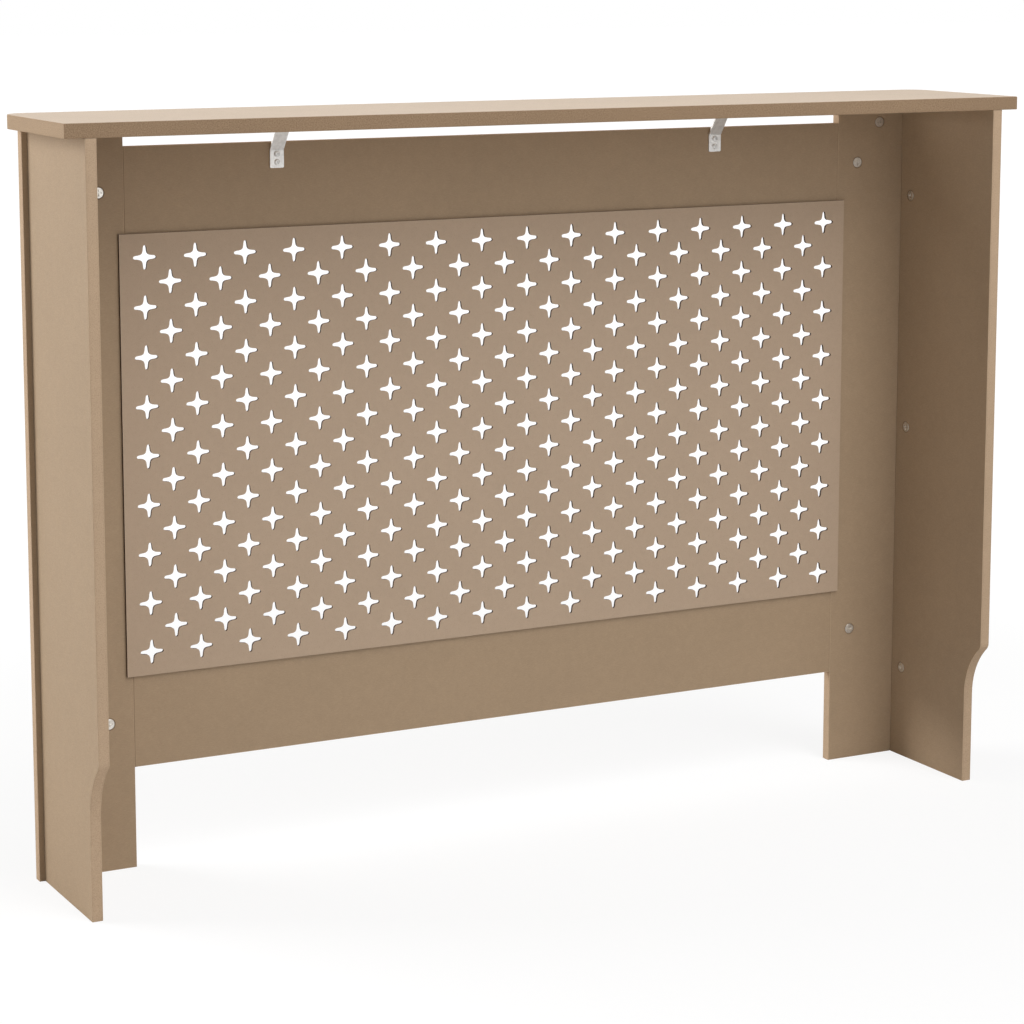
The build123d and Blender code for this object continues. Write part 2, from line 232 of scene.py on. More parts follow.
class Surface(Graph):
    """A material in the making. Its pattern lies on the piece, in the row frame at rest."""

    def __init__(self, name: str) -> None:
        """Starts an empty material.

        Args:
            name: The material's name.
        """
        self.material = bpy.data.materials.new(name)
        self.material.use_nodes = True
        super().__init__(self.material.node_tree)
        self.tree.nodes.clear()
        where = self.node("ShaderNodeTexCoord")
        self.place = Sock(self, where.outputs["Object"])
        self.facing = Sock(self, where.outputs["Normal"])

    def part(self, vector: Sock, axis: Axis) -> Sock:
        """One coordinate of a vector."""
        return self.out("ShaderNodeSeparateXYZ", inputs={0: vector}, output=axis.value)

    def laid(
        self,
        move: Triple = (0, 0, 0),
        turn: Triple = (0, 0, 0),
        stretch: Triple = (1, 1, 1),
    ) -> Sock:
        """The place on the piece, turned, moved and stretched for a pattern.

        Args:
            move: How far the pattern is moved, in metres.
            turn: How far it is turned about each axis, in degrees.
            stretch: How much finer it is along each axis.

        Returns:
            The coordinate to give to a texture.
        """
        return self.out(
            "ShaderNodeMapping",
            inputs={
                "Vector": self.place,
                "Location": move,
                "Rotation": in_radians(turn),
                "Scale": stretch,
            },
        )

    def noise(self, at: Sock, pattern: Pattern) -> Sock:
        """A noise pattern on the surface.

        Args:
            at: The coordinate it is read at.
            pattern: How it looks.

        Returns:
            The noise, about 0.5 on average.
        """
        inputs = {
            "Vector": at,
            "Scale": pattern.per_metre,
            "Detail": pattern.detail,
            "Roughness": pattern.harshness,
        }
        return self.out("ShaderNodeTexNoise", inputs=inputs)

    def mix(self, share: Value, first: Value, second: Value, blend: str = "MIX") -> Sock:
        """A mix of two colours.

        Args:
            share: How much of the second there is, from 0 to 1.
            first: A colour.
            second: Another colour.
            blend: How the second goes on the first.

        Returns:
            The mixed colour.
        """
        colours = [c if isinstance(c, Sock) else (*c, 1.0) for c in (first, second)]
        settings = {"data_type": "RGBA", "blend_type": blend}
        # The node's colours are its inputs 6 and 7 and its output 2: their names are shared.
        inputs = {0: share, 6: colours[0], 7: colours[1]}
        return self.out("ShaderNodeMix", settings, inputs, output=2)

    def shaded(self, colour: Sock, shade: Sock) -> Sock:
        """A colour made lighter or darker by a value of about 1."""
        grey = self.out("ShaderNodeCombineXYZ", inputs={0: shade, 1: shade, 2: shade})
        return self.mix(1.0, colour, grey, "MULTIPLY")

    def finished(
        self,
        colour: Sock,
        roughness: Sock,
        relief: Sock,
        relief_height: float,
        **others: Value,
    ) -> bpy.types.Material:
        """Closes the material with its shader.

        Args:
            colour: The base colour.
            roughness: The roughness.
            relief: A height pattern for fine bumps.
            relief_height: How high that pattern stands, in metres.
            **others: More sockets of the shader, by name with _ for a space.

        Returns:
            The finished material.
        """
        bumps = {"Strength": 1.0, "Distance": relief_height, "Height": relief}
        inputs = {
            "Base Color": colour,
            "Roughness": roughness,
            "Normal": self.out("ShaderNodeBump", inputs=bumps),
        }
        inputs.update({name.replace("_", " "): value for name, value in others.items()})
        shader = self.node("ShaderNodeBsdfPrincipled", inputs=inputs)
        self.node("ShaderNodeOutputMaterial", inputs={"Surface": shader.outputs[0]})
        return self.material


# ---- finishes

Seam = Tuple[Axis, float]


@dataclass(frozen=True)
class Fibreboard:
    """Bare medium-density fibreboard: dense sanded faces and coarse sawn edges."""

    face: Colour = paint(166, 143, 117)
    edge: Colour = paint(187, 161, 134)
    end: Colour = paint(187, 161, 134)
    # Painted shade for the hairlines at the joints and around the cam locks, which are partly real
    # gaps.
    gap_shade: Colour = paint(58, 42, 30)
    fleck: Colour = paint(130, 105, 78)
    strand: Colour = paint(192, 169, 140)
    pore: Colour = paint(122, 96, 70)
    # A pale fibre colour for the sawn edges, also used as a painted highlight on the chamfered
    # arrises.
    pale_and_highlight: Colour = paint(206, 182, 154)
    cloud: Pattern = Pattern(11.0, detail=3)
    mottle: Pattern = Pattern(95.0, detail=4, harshness=0.6)
    flecks: Pattern = Pattern(900.0, detail=2, harshness=0.7)
    strands: Pattern = Pattern(260.0, detail=0)
    core: Pattern = Pattern(760.0, detail=3, harshness=0.75)
    strand_lies: Triple = (17.0, 74.0, 131.0)
    strand_thinness: float = 9.0
    broad_span: Span = (0.75, 0.95)
    arris_span: Span = (0.1, 0.6)
    end_span: Span = (0.5, 0.9)
    skin_span: Span = (0.55, 0.98)
    fleck_span: Span = (0.56, 0.70)
    strand_span: Span = (0.62, 0.72)
    pore_span: Span = (0.50, 0.64)
    pale_span: Span = (0.50, 0.36)
    cloud_swing: float = 0.08
    mottle_swing: float = 0.14
    fleck_strength: float = 0.34
    strand_strength: float = 0.20
    pore_strength: float = 0.24
    skin_strength: float = 0.12
    arris_highlight_strength: float = 0.60
    seam_half_width: float = 0.45 * MILLIMETRE
    seam_shade_strength: float = 0.36
    bore_radius: float = 6.0 * MILLIMETRE
    bore_rim: float = 0.7 * MILLIMETRE
    face_roughness: float = 0.60
    edge_roughness: float = 0.88
    roughness_swing: float = 0.12
    skin_calm: float = 0.6
    fleck_relief: float = 0.22
    strand_relief: float = 0.18
    mottle_relief: float = 0.35
    relief_height: float = 0.10 * MILLIMETRE
    shine: float = 0.14

    def material(
        self,
        name: str,
        thickness: Axis,
        box: Tuple[Vector, Vector],
        shift: float,
        seams: Sequence[Seam],
        bores: Sequence[Vector],
    ) -> bpy.types.Material:
        """Makes this finish for one board.

        Args:
            name: The material's name.
            thickness: The axis across the board.
            box: The board's lowest and highest corners.
            shift: How far the pattern is moved, so that no two boards match.
            seams: The planes in which other boards butt against this one, by axis and place.
            bores: The middles of the cam locks that are sunk in it.

        Returns:
            The material.
        """
        made = Surface(name)
        spot = made.laid(move=(shift, -shift, 2 * shift))
        low, high = (corner[thickness.value] for corner in box)
        middle = (low + high) / 2
        half = (high - low) / 2
        squareness = abs(made.part(made.facing, thickness))
        broad = squareness.rise(self.broad_span)
        # Where the chamfered arrises lie, which get a painted highlight.
        pale_and_highlight = squareness.rise(self.arris_span) * (1 - broad)
        depth = abs(made.part(made.place, thickness) - middle) / half
        skin = depth.rise(self.skin_span)

        cloud = made.noise(spot, self.cloud)
        mottle = made.noise(spot, self.mottle)
        flecks = made.noise(spot, self.flecks)
        core = made.noise(spot, self.core)
        strands = self._strands(made, thickness, shift)

        tone = made.mix(flecks.rise(self.fleck_span) * self.fleck_strength, self.face, self.fleck)
        tone = made.mix(strands * self.strand_strength, tone, self.strand)
        at_end = abs(made.part(made.facing, Axis.X)).rise(self.end_span)
        sawn = made.mix(at_end, self.edge, self.end)
        sawn = made.mix(core.rise(self.pore_span) * self.pore_strength, sawn, self.pore)
        sawn = made.mix(core.rise(self.pale_span) * self.pore_strength, sawn, self.pale_and_highlight)
        sawn = made.mix(skin * self.skin_strength, sawn, self.fleck)
        colour = made.mix(broad, sawn, tone)
        # Painted highlight: the chamfered arrises are made lighter.
        colour = made.mix(pale_and_highlight * self.arris_highlight_strength, colour, self.pale_and_highlight)
        shade = 1 + cloud.swing(self.cloud_swing) + mottle.swing(self.mottle_swing)
        colour = made.shaded(colour, shade)
        # Painted shade darkens the hairlines at the joints and around the cam locks' bores, on top
        # of their real gaps.
        if seams:
            colour = made.mix(self._gap_shade_mask(made, seams, bores) * self.seam_shade_strength, colour, self.gap_shade)

        smoother = self.face_roughness - self.edge_roughness
        roughness = self.edge_roughness + broad * smoother + mottle.swing(self.roughness_swing)
        relief = core * (1 - broad) * (1 - skin * self.skin_calm) + flecks * self.fleck_relief
        relief = relief + strands * self.strand_relief + mottle * self.mottle_relief
        return made.finished(
            colour, roughness, relief, self.relief_height, Specular_IOR_Level=self.shine
        )

    def _gap_shade_mask(self, made: Surface, seams: Sequence[Seam], bores: Sequence[Vector]) -> Sock:
        """The dark hairlines at the joints and around the cam locks: partly their real gaps, partly
        painted shade.

        Args:
            made: The material they are for.
            seams: The planes of the joints, by axis and place.
            bores: The middles of the cam locks.

        Returns:
            1 on a hairline and 0 away from it.
        """
        seam = (2 * self.seam_half_width, self.seam_half_width)
        rim = (self.bore_radius + 2 * self.bore_rim, self.bore_radius + self.bore_rim)
        apart = {"operation": "DISTANCE"}
        found: Value = 0.0
        for axis, place in seams:
            found = abs(made.part(made.place, axis) - place).rise(seam).larger(found)
        for middle in bores:
            far = made.out("ShaderNodeVectorMath", apart, {0: made.place, 1: middle}, "Value")
            found = far.rise(rim).larger(found)
        return found

    def _strands(self, made: Surface, thickness: Axis, shift: float) -> Sock:
        """Short pressed fibres, lying three ways in the board's plane.

        Args:
            made: The material they are for.
            thickness: The axis across the board.
            shift: How far the pattern is moved.

        Returns:
            1 on a fibre and 0 beside it.
        """
        fine = self.strand_thinness
        stretch = (fine, 1, fine) if thickness is Axis.X else (1, fine, fine)
        found: Optional[Sock] = None
        for lie in self.strand_lies:
            turn = [0.0, 0.0, 0.0]
            turn[thickness.value] = lie
            laid = made.laid((shift + lie, shift, -shift), tuple(turn), stretch)
            one = made.noise(laid, self.strands).rise(self.strand_span)
            found = one if found is None else found.larger(one)
        return found


@dataclass(frozen=True)
class ThinBoard:
    """The grille's thin fibreboard: a smooth grey-brown face, and burnt cuts that also carry
    painted shade.
    """

    face: Colour = paint(182, 160, 138)
    fleck: Colour = paint(142, 119, 96)
    # The burnt brown of the cuts, darkened further as painted shade.
    scorched_and_shaded: Colour = paint(44, 25, 13)
    toasted: Colour = paint(92, 62, 40)
    cloud: Pattern = Pattern(7.0, detail=3)
    mottle: Pattern = Pattern(140.0, detail=4, harshness=0.6)
    flecks: Pattern = Pattern(1100.0, detail=2, harshness=0.7)
    streaks: Pattern = Pattern(1600.0, detail=2, harshness=0.7)
    patches: Pattern = Pattern(60.0, detail=3)
    face_shift: Triple = (0.31, 0.17, 0.53)
    patch_shift: Triple = (0.7, 0.2, 0.4)
    streak_stretch: Triple = (1, 0.08, 1)
    fleck_span: Span = (0.55, 0.72)
    streak_span: Span = (0.42, 0.68)
    patch_span: Span = (0.45, 0.75)
    fleck_strength: float = 0.28
    streak_share: float = 0.6
    patch_share: float = 0.4
    cloud_swing: float = 0.08
    mottle_swing: float = 0.10
    roughness: float = 0.56
    roughness_swing: float = 0.10
    cut_roughness: float = 0.82
    toasted_gloss: float = 0.1
    fleck_relief: float = 0.5
    mottle_relief: float = 0.5
    relief_height: float = 0.05 * MILLIMETRE
    shine: float = 0.14
    cut_shine: float = 0.35

    def face_material(self, name: str) -> bpy.types.Material:
        """The smooth face.

        Args:
            name: The material's name.

        Returns:
            The material.
        """
        made = Surface(name)
        spot = made.laid(move=self.face_shift)
        cloud = made.noise(spot, self.cloud)
        mottle = made.noise(spot, self.mottle)
        flecks = made.noise(spot, self.flecks)
        colour = made.mix(flecks.rise(self.fleck_span) * self.fleck_strength, self.face, self.fleck)
        shade = 1 + cloud.swing(self.cloud_swing) + mottle.swing(self.mottle_swing)
        colour = made.shaded(colour, shade)
        relief = flecks * self.fleck_relief + mottle * self.mottle_relief
        roughness = self.roughness + mottle.swing(self.roughness_swing)
        return made.finished(
            colour, roughness, relief, self.relief_height, Specular_IOR_Level=self.shine
        )

    def cut_material(self, name: str) -> bpy.types.Material:
        """The burnt walls of the stars and the panel's cut edges, darker still with painted shade.

        Args:
            name: The material's name.

        Returns:
            The material.
        """
        made = Surface(name)
        streaks = made.noise(made.laid(stretch=self.streak_stretch), self.streaks)
        patches = made.noise(made.laid(move=self.patch_shift), self.patches)
        share = streaks.rise(self.streak_span) * self.streak_share
        share = share + patches.rise(self.patch_span) * self.patch_share
        # The cuts are partly really burnt and partly painted shade.
        colour = made.mix(share, self.scorched_and_shaded, self.toasted)
        roughness = self.cut_roughness - share * self.toasted_gloss
        return made.finished(
            colour, roughness, streaks, self.relief_height, Specular_IOR_Level=self.cut_shine
        )


@dataclass(frozen=True)
class Metal:
    """A plated or cast metal with fine wear."""

    bright: Colour
    dull: Colour
    roughness: float
    grain: Pattern = Pattern(900.0, detail=3, harshness=0.6)
    patches: Pattern = Pattern(260.0, detail=3)
    grain_stretch: Triple = (1, 1, 1)
    patch_shift: Triple = (0.3, 0.6, 0.9)
    grain_span: Span = (0.45, 0.75)
    patch_span: Span = (0.40, 0.68)
    grain_share: float = 0.3
    patch_share: float = 0.7
    grain_swing: float = 0.22
    patch_swing: float = 0.16
    relief_height: float = 0.012 * MILLIMETRE
    metallic: float = 1.0

    def material(self, name: str) -> bpy.types.Material:
        """Makes this finish.

        Args:
            name: The material's name.

        Returns:
            The material.
        """
        made = Surface(name)
        grain = made.noise(made.laid(stretch=self.grain_stretch), self.grain)
        patches = made.noise(made.laid(move=self.patch_shift), self.patches)
        wear = patches.rise(self.patch_span) * self.patch_share
        wear = wear + grain.rise(self.grain_span) * self.grain_share
        tone = made.mix(wear, self.bright, self.dull)
        roughness = self.roughness + grain.swing(self.grain_swing) + patches.swing(self.patch_swing)
        return made.finished(tone, roughness, grain, self.relief_height, Metallic=self.metallic)


@dataclass(frozen=True)
class Beech:
    """Bare beech with short dark rays along the grain."""

    wood: Colour = paint(214, 180, 134)
    ray: Colour = paint(168, 124, 82)
    grain: Pattern = Pattern(1400.0, detail=3, harshness=0.6)
    rays: Pattern = Pattern(3200.0, detail=0)
    long_stretch: float = 0.08
    grain_span: Span = (0.35, 0.75)
    ray_span: Span = (0.62, 0.72)
    grain_strength: float = 0.45
    ray_strength: float = 0.5
    roughness: float = 0.72
    roughness_swing: float = 0.2
    relief_height: float = 0.03 * MILLIMETRE

    def material(self, name: str, along: Axis) -> bpy.types.Material:
        """Makes this finish with the grain along an axis.

        Args:
            name: The material's name.
            along: The axis the grain runs along.

        Returns:
            The material.
        """
        made = Surface(name)
        stretch = [1.0, 1.0, 1.0]
        stretch[along.value] = self.long_stretch
        laid = made.laid(stretch=tuple(stretch))
        grain = made.noise(laid, self.grain)
        rays = made.noise(laid, self.rays)
        dark = grain.rise(self.grain_span) * self.grain_strength
        dark = dark + rays.rise(self.ray_span) * self.ray_strength
        colour = made.mix(dark, self.wood, self.ray)
        roughness = self.roughness + grain.swing(self.roughness_swing)
        relief = grain + rays * self.ray_strength
        return made.finished(colour, roughness, relief, self.relief_height)


FIBREBOARD = Fibreboard()
# The top board is the same fibreboard as the others: its face is painted lighter as a painted
# sheen, and its sawn edges darker as painted shade.
TOP_FIBREBOARD_PAINTED_LIGHT = Fibreboard(
    face=paint(216, 198, 179),
    edge=paint(149, 124, 98),
    end=paint(167, 142, 115),
    pore=paint(96, 74, 52),
    pale_and_highlight=paint(186, 160, 132),
    face_roughness=0.72,
    shine=0.26,
    pore_strength=0.36,
    arris_highlight_strength=0.30,
)
THIN_BOARD = ThinBoard()
CAST_ZINC = Metal(
    bright=paint(240, 236, 229),
    dull=paint(206, 200, 191),
    roughness=0.40,
    grain=Pattern(2600.0, detail=3, harshness=0.6),
)
BRIGHT_ZINC_PLATE = Metal(
    bright=paint(236, 234, 231),
    dull=paint(220, 218, 215),
    roughness=0.44,
    grain_stretch=(1, 0.06, 0.06),
)
SCREW_PLATE = Metal(paint(234, 233, 231), paint(214, 213, 211), roughness=0.48)
BOLT_STEEL = Metal(paint(206, 208, 210), paint(164, 166, 170), roughness=0.36)
BEECH = Beech()


# ---- shared shaping


def dress(node: str, material: bpy.types.Material) -> None:
    """Gives a CAD node its finish.

    Args:
        node: The node's name.
        material: What all of it is finished in.
    """
    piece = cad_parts[node]
    piece.data.materials.clear()
    piece.data.materials.append(material)
    log.info("dressed %s in %s", node, material.name)


def cross_loop(half_length: float, half_width: float, corner: float) -> List[Point]:
    """The outline of a screwdriver's cross, with its arms' ends cut a little.

    Args:
        half_length: From the middle to an arm's end.
        half_width: Half of an arm's width.
        corner: How far each outer corner is cut back.

    Returns:
        The outline's points, anticlockwise.
    """
    arm = [
        (half_width, half_width),
        (half_length - corner, half_width),
        (half_length, half_width - corner),
        (half_length, corner - half_width),
        (half_length - corner, -half_width),
    ]
    points = []
    for quarter in range(4):
        turn = Matrix.Rotation(math.radians(90 * quarter), 2)
        for x, y in reversed(arm):
            turned = turn @ Vector((x, y))
            points.append((turned.x, turned.y))
    return points


def ring(shape: bmesh.types.BMesh, points: Sequence[Point], height: float) -> Loop:
    """Adds a loop of points at a height, with nothing joining them yet."""
    return [shape.verts.new((x, y, height)) for x, y in points]


def circle(radius: float, count: int) -> List[Point]:
    """The points of a circle, anticlockwise."""
    turns = [2 * math.pi * step / count for step in range(count)]
    return [(radius * math.cos(turn), radius * math.sin(turn)) for turn in turns]


def bridge(shape: bmesh.types.BMesh, lower: Loop, upper: Loop) -> None:
    """Joins two loops of equal count with faces.

    Args:
        shape: The mesh.
        lower: One loop.
        upper: The other.
    """
    for here, (a, b) in enumerate(zip(lower, upper)):
        after = (here + 1) % len(lower)
        shape.faces.new((a, lower[after], upper[after], b))


def closed(shape: bmesh.types.BMesh, loops: Sequence[Loop]) -> None:
    """Fills the flat space within the outer loop, leaving any inner loops open.

    Args:
        shape: The mesh.
        loops: The outer loop, and then any loops within it.
    """
    edges = []
    for loop in loops:
        for here, vert in enumerate(loop):
            after = loop[(here + 1) % len(loop)]
            edges.append(shape.edges.get((vert, after)) or shape.edges.new((vert, after)))
    bmesh.ops.triangle_fill(shape, edges=edges, use_beauty=True)


def finished_mesh(name: str, shape: bmesh.types.BMesh) -> bpy.types.Mesh:
    """Turns a shape into a mesh with its faces outwards.

    Args:
        name: The mesh's name.
        shape: The shape, which is used up.

    Returns:
        The mesh.
    """
    bmesh.ops.remove_doubles(shape, verts=shape.verts, dist=WELD)
    bmesh.ops.recalc_face_normals(shape, faces=shape.faces)
    mesh = bpy.data.meshes.new(name)
    shape.to_mesh(mesh)
    shape.free()
    return mesh


SOCKET_KINDS = {
    int: "NodeSocketInt",
    float: "NodeSocketFloat",
    tuple: "NodeSocketVector",
    bpy.types.Material: "NodeSocketMaterial",
}


class PartTree(Graph):
    """A geometry tree with named inputs, which is run once on a piece and then removed."""

    def __init__(self, name: str, inputs: Dict[str, Any]) -> None:
        """Starts a tree.

        Args:
            name: The tree's name.
            inputs: Each input's name and value. Its kind follows the value.
        """
        super().__init__(bpy.data.node_groups.new(name, "GeometryNodeTree"))
        self.inputs = inputs
        face = self.tree.interface
        for side in ("INPUT", "OUTPUT"):
            face.new_socket(name="Geometry", in_out=side, socket_type="NodeSocketGeometry")
        for label, value in inputs.items():
            kind = SOCKET_KINDS[type(value)]
            face.new_socket(name=label, in_out="INPUT", socket_type=kind)
        self.given = self.node("NodeGroupInput")

    def __getitem__(self, label: str) -> Sock:
        """One of the tree's inputs."""
        return Sock(self, self.given.outputs[label])

    def joined(self, *parts: Sock) -> Sock:
        """Several geometries as one.

        Args:
            *parts: The geometries.

        Returns:
            All of them.
        """
        join = self.node("GeometryNodeJoinGeometry")
        for part in parts:
            self.tree.links.new(part.socket, join.inputs[0])
        return Sock(self, join.outputs[0])

    def coated(self, geometry: Value, finish: str, where: Value = True) -> Sock:
        """A geometry whose faces, or the selected ones, get the material that an input holds."""
        inputs = {"Geometry": geometry, "Selection": where, "Material": self[finish]}
        return self.out("GeometryNodeSetMaterial", inputs=inputs)

    def run(self, piece: bpy.types.Object, result: Sock) -> None:
        """Runs the tree on a piece and leaves a plain mesh.

        Args:
            piece: The object, whose mesh is the tree's Geometry input.
            result: The geometry that comes out.
        """
        self.node("NodeGroupOutput", inputs={0: result})
        modifier = piece.modifiers.new(self.tree.name, "NODES")
        modifier.node_group = self.tree
        for item in self.tree.interface.items_tree:
            if item.in_out == "INPUT" and item.name in self.inputs:
                modifier[item.identifier] = self.inputs[item.name]
        graph = bpy.context.evaluated_depsgraph_get()
        graph.update()
        baked = bpy.data.meshes.new_from_object(piece.evaluated_get(graph))
        piece.modifiers.remove(modifier)
        piece.data = baked
        baked.name = piece.name


def new_object(name: str, data: bpy.types.ID) -> bpy.types.Object:
    """Adds an object at the origin.

    Args:
        name: Its name.
        data: Its mesh, lamp or camera.

    Returns:
        The object.
    """
    added = bpy.data.objects.new(name, data)
    bpy.context.scene.collection.objects.link(added)
    return added


# ---- the boards


@dataclass
class Carcass:
    """The seven boards that make the cabinet's shell."""

    boards: Dict[str, Axis] = field(
        default_factory=lambda: {
            "top_board": Axis.Z,
            "side_panel_left": Axis.X,
            "side_panel_right": Axis.X,
            "stile_left": Axis.Y,
            "stile_right": Axis.Y,
            "top_rail": Axis.Y,
            "bottom_rail": Axis.Y,
        }
    )
    top: str = "top_board"
    pattern_step: float = 3.7

    def dress(self) -> None:
        """Gives each board its own stretch of fibreboard."""
        bores = self._bores()
        for number, (board, thickness) in enumerate(self.boards.items()):
            shift = self.pattern_step * (number + 1)
            # The top board takes the copy with a painted sheen on its face and painted shade on its
            # edges.
            finish = TOP_FIBREBOARD_PAINTED_LIGHT if board == self.top else FIBREBOARD
            name = f"fibreboard_{board}"
            seams = self._seams(board)
            sunk = bores.get(board, [])
            dress(board, finish.material(name, thickness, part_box(board), shift, seams, sunk))

    def _seams(self, board: str) -> List[Seam]:
        """The planes in which one board's ends or edges butt against other boards.

        Args:
            board: The board's node.

        Returns:
            Each plane's axis and place.
        """
        low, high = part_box(board)
        if board == self.top:
            return []
        if board.endswith("_rail"):
            return [(Axis.X, low.x), (Axis.X, high.x)]
        if board.startswith("side_panel"):
            return [(Axis.Z, high.z), (Axis.Y, low.y)]
        return [(Axis.Z, high.z)]

    def _bores(self) -> Dict[str, List[Vector]]:
        """The middle of each cam lock's outer face.

        Returns:
            The places, by the board that the cam locks are sunk in.
        """
        found: Dict[str, List[Vector]] = {}
        for node in sorted(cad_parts):
            if not node.startswith("cam_lock"):
                continue
            low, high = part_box(node)
            middle = (low + high) / 2
            hand = node.rsplit("_", 1)[1]
            if "_side_" in node:
                middle.x = high.x if hand == "left" else low.x
                found.setdefault(f"side_panel_{hand}", []).append(middle)
            else:
                middle.y = high.y
                found.setdefault(f"stile_{hand}", []).append(middle)
        return found


# ---- the grille


@dataclass
class StarGrille:
    """The thin panel behind the window, pierced with staggered four-pointed stars."""

    node: str = "grille_panel"
    slot: str = "grille_hardboard"
    star_reach: float = 13.3 * MILLIMETRE
    tip_pull: float = 4.5 * MILLIMETRE
    flank_pull: float = 1.6 * MILLIMETRE
    waist_pull: float = 0.1 * MILLIMETRE
    pitch_x: float = 57.2 * MILLIMETRE
    pitch_z: float = 53.4 * MILLIMETRE
    side_steps: int = 10
    weld: float = 0.001 * MILLIMETRE

    def make(self) -> None:
        """Makes the panel where the CAD has it."""
        low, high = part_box(self.node)
        size = high - low
        sizes = {
            "Panel Length": size.x,
            "Panel Height": size.z,
            "Panel Thickness": size.y,
            "Panel Middle": (0.0, high.y, (low.z + high.z) / 2),
            "Pitch X": self.pitch_x,
            "Pitch Z": self.pitch_z,
            "Columns": 1 + int((size.x - 2 * self.star_reach) / self.pitch_x),
            "Rows": 1 + int((size.z - 2 * self.star_reach) / self.pitch_z),
            "Face": THIN_BOARD.face_material("thin_board_face"),
            "Cut": THIN_BOARD.cut_material("thin_board_cut"),
        }
        tree = PartTree("pierced_panel", sizes)
        piece = new_object("star_grille", self._star_outline())
        tree.run(piece, self._pierced(tree))
        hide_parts(self.node)
        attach(piece, CARCASS)
        log.info("made star_grille with %d faces", len(piece.data.polygons))

    def _star_outline(self) -> bpy.types.Mesh:
        """One star as a closed run of edges about the origin.

        From each tip to the next, its side is one Bezier curve.

        Returns:
            The outline, in the XY plane.
        """
        reach, tip, flank, waist = self.star_reach, self.tip_pull, self.flank_pull, self.waist_pull
        pulls = ((reach, 0), (reach, tip), (flank, waist), (waist, flank), (tip, reach), (0, reach))
        degree = len(pulls) - 1
        quarter = []
        for step in range(self.side_steps):
            along = step / self.side_steps
            spot = Vector((0, 0))
            for index, pull in enumerate(pulls):
                weight = math.comb(degree, index) * along**index * (1 - along) ** (degree - index)
                spot += weight * Vector(pull)
            quarter.append(spot)
        points = []
        for turn in range(4):
            points += [Matrix.Rotation(math.radians(90 * turn), 2) @ spot for spot in quarter]
        outline = bpy.data.meshes.new("star_outline")
        edges = [(here, (here + 1) % len(points)) for here in range(len(points))]
        outline.from_pydata([(spot.x, spot.y, 0) for spot in points], edges, [])
        return outline

    def _lattice(self, tree: PartTree, fewer: int) -> Sock:
        """A grid of points, centred on the panel.

        Args:
            tree: The tree it is in.
            fewer: How many columns and rows it has less than the panel's counts.

        Returns:
            The grid.
        """
        columns = tree["Columns"] - fewer
        rows = tree["Rows"] - fewer
        return tree.out(
            "GeometryNodeMeshGrid",
            inputs={
                "Size X": (columns - 1) * tree["Pitch X"],
                "Size Y": (rows - 1) * tree["Pitch Z"],
                "Vertices X": columns,
                "Vertices Y": rows,
            },
        )

    def _pierced(self, tree: PartTree) -> Sock:
        """The panel with its stars, walls and both faces.

        Args:
            tree: The tree it is in.

        Returns:
            The finished geometry.
        """
        star = tree.out("GeometryNodeMeshToCurve", inputs={"Mesh": tree["Geometry"]})
        points = tree.joined(self._lattice(tree, 0), self._lattice(tree, 1))
        copies = {"Points": points, "Instance": star}
        stars = tree.out("GeometryNodeInstanceOnPoints", inputs=copies)
        stars = tree.out("GeometryNodeRealizeInstances", inputs={0: stars})
        border = tree.out(
            "GeometryNodeCurvePrimitiveQuadrilateral",
            {"mode": "RECTANGLE"},
            {"Width": tree["Panel Length"], "Height": tree["Panel Height"]},
        )
        sheet = tree.out("GeometryNodeFillCurve", inputs={0: tree.joined(border, stars)})
        raised = tree.node(
            "GeometryNodeExtrudeMesh",
            {"mode": "FACES"},
            {"Mesh": sheet, "Offset Scale": tree["Panel Thickness"], "Individual": False},
        )
        back = tree.coated(tree.out("GeometryNodeFlipFaces", inputs={0: sheet}), "Face")
        front = tree.coated(raised.outputs["Mesh"], "Face")
        front = tree.coated(front, "Cut", raised.outputs["Side"])
        whole = tree.out(
            "GeometryNodeMergeByDistance",
            inputs={"Geometry": tree.joined(front, back), "Distance": self.weld},
        )
        stood = tree.out(
            "GeometryNodeTransform",
            inputs={
                "Geometry": whole,
                "Translation": tree["Panel Middle"],
                "Rotation": in_radians((90, 0, 0)),
            },
        )
        return tree.out("GeometryNodeRealizeInstances", inputs={0: stood})


# ---- the cam locks and the joinery


@dataclass
class Joinery:
    """The cam locks, their bolts and the dowels, which keep their CAD shapes."""

    dowel_grain: Dict[str, Axis] = field(
        default_factory=lambda: {"rail_dowels": Axis.X, "side_dowels": Axis.Y, "top_dowels": Axis.Z}
    )

    def dress(self) -> None:
        """Gives the cams, the bolts and the dowels their finishes."""
        zinc = CAST_ZINC.material("cast_zinc")
        steel = BOLT_STEEL.material("bolt_steel")
        for node in sorted(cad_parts):
            if node.startswith("cam_lock"):
                dress(node, zinc)
            elif node.endswith("cam_bolts"):
                dress(node, steel)
        for node, along in self.dowel_grain.items():
            dress(node, BEECH.material(f"beech_{node}", along))


# ---- the brackets


